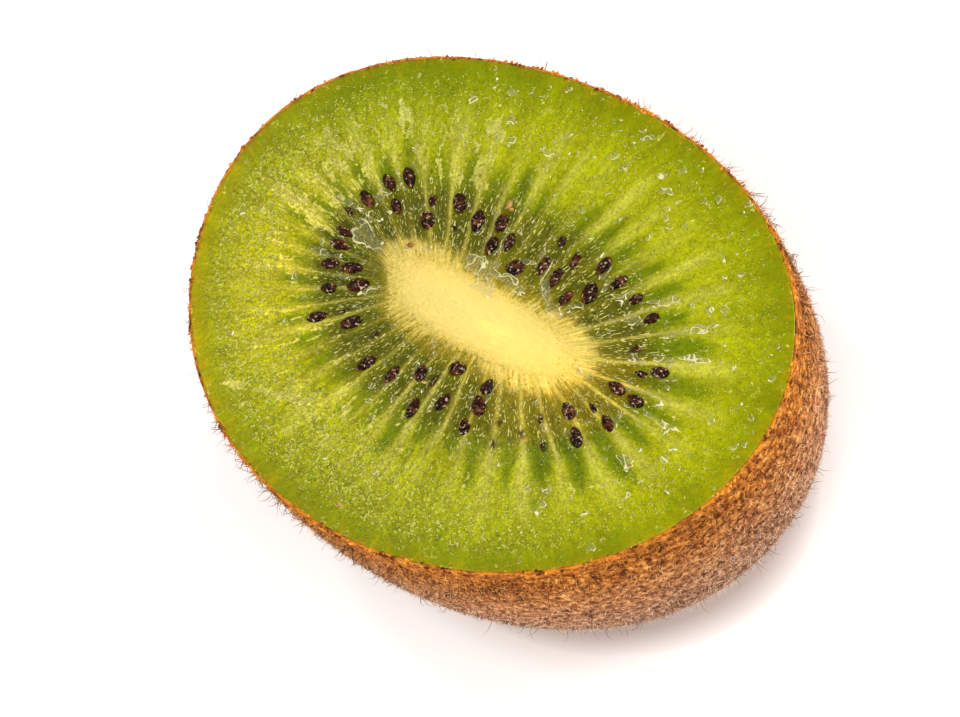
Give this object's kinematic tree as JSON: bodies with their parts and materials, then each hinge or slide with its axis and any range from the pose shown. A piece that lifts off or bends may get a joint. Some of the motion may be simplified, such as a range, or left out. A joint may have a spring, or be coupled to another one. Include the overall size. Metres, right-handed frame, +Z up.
{
  "type": "kiwi fruit half",
  "caption": "Half of a green kiwi fruit cut across, lying on its round end with the cut face up: pale core, ring of dark seeds, green flesh and thin brown furry skin.",
  "frame": {"origin": "middle of the underside of the bounding box, in the small flat spot that the half stands on", "axes": "+X along the long way of the cut face, +Y along its short way, +Z up out of the cut face"},
  "size_m": [0.0578, 0.044, 0.03],
  "materials": {
    "flesh": "wet cut fruit flesh, yellow-green with darker green seed chambers round a pale cream core",
    "skin": "thin brown papery skin, matt, with short bristly hairs",
    "seeds": "near-black purple-brown, glossy and wet",
    "juice": "clear thin juice film"
  },
  "bodies": {
    "root": {"kiwi_half": "flesh"}
  },
  "joints": []
}
